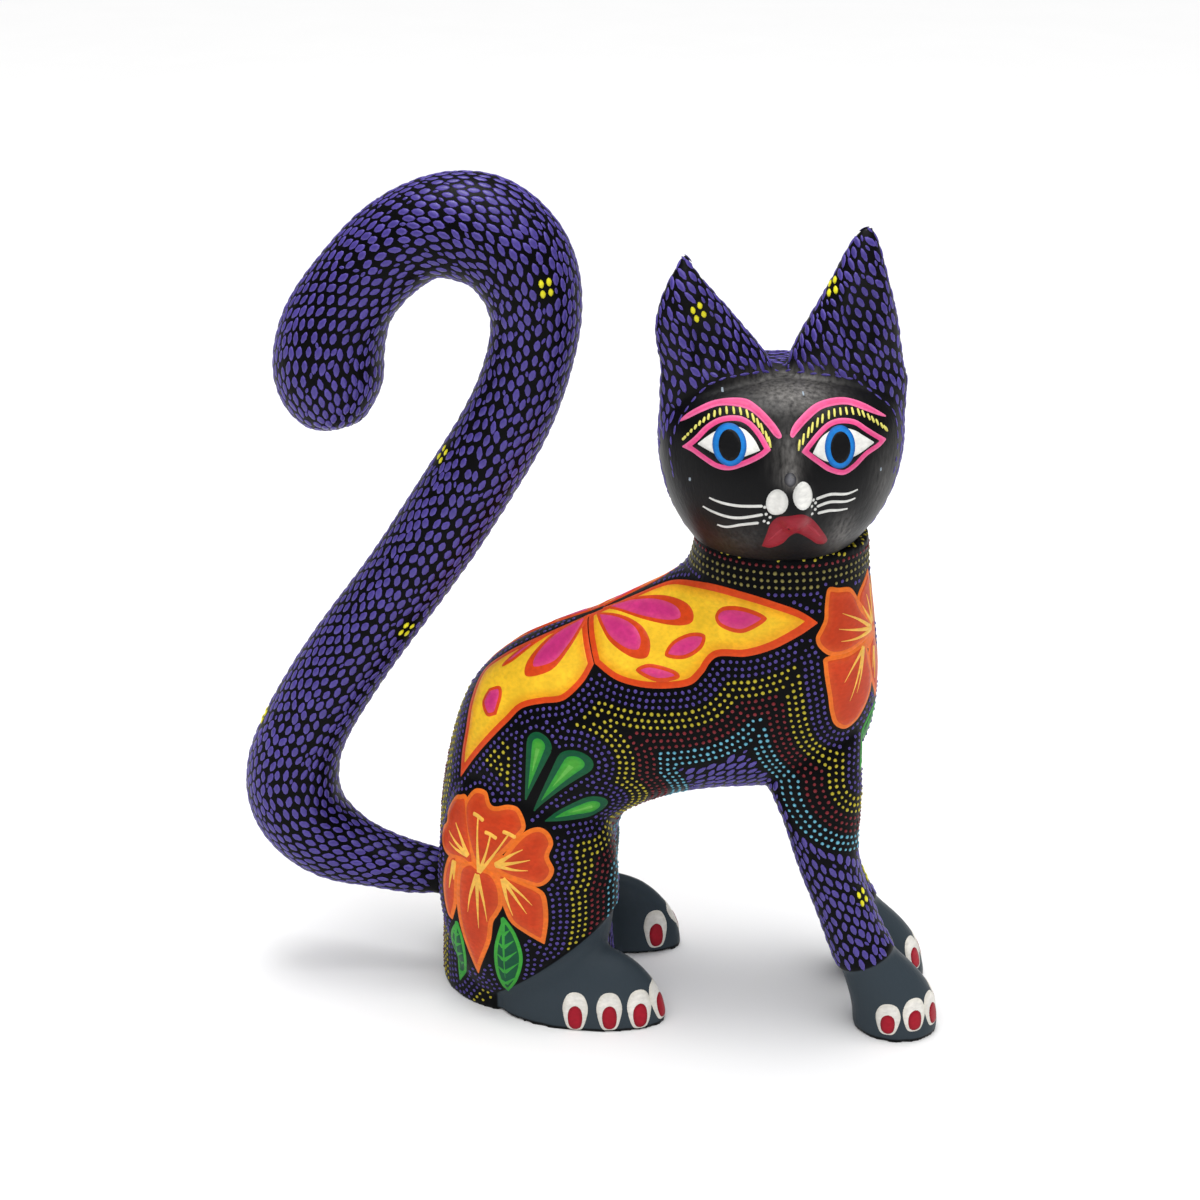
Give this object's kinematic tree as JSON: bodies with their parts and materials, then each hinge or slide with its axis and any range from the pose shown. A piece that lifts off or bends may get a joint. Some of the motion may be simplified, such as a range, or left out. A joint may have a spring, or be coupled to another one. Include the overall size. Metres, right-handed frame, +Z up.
{
  "type": "carved wooden cat figure",
  "caption": "Seated carved wooden cat with a turned head, upright ears and a long curled tail that plugs in on a peg, painted all over with dots and flowers.",
  "frame": {"origin": "middle of the flat sawn underside of the seat, on the plane the figure stands on", "axes": "+X the way the trunk faces, +Y the cat's left side, +Z up"},
  "size_m": [0.2133, 0.0714, 0.2507],
  "materials": {
    "painted_body": "acrylic paint under thin varnish",
    "painted_head": "acrylic paint under thin varnish",
    "painted_ears": "acrylic paint under thin varnish",
    "painted_tail": "acrylic paint under thin varnish",
    "peg_wood": "bare, whittled"
  },
  "bodies": {
    "figure": {"body": "painted_body", "neck_dowel": "peg_wood", "head": "painted_head", "right_ear": "painted_ears", "left_ear": "painted_ears"},
    "tail_peg": {"tail_peg": "peg_wood"},
    "tail": {"tail": "painted_tail"}
  },
  "joints": [
    {"name": "tail_pull", "type": "slide", "parent": "figure", "child": "tail_peg", "axis": [-0.9925, 0, 0.1219], "range_m": [0, 0.026]},
    {"name": "tail_turn", "type": "hinge", "parent": "tail_peg", "child": "tail", "pos_m": [-0.028, 0, 0.0326], "axis": [-0.9925, 0, 0.1219], "range_deg": [-90, 90]}
  ]
}
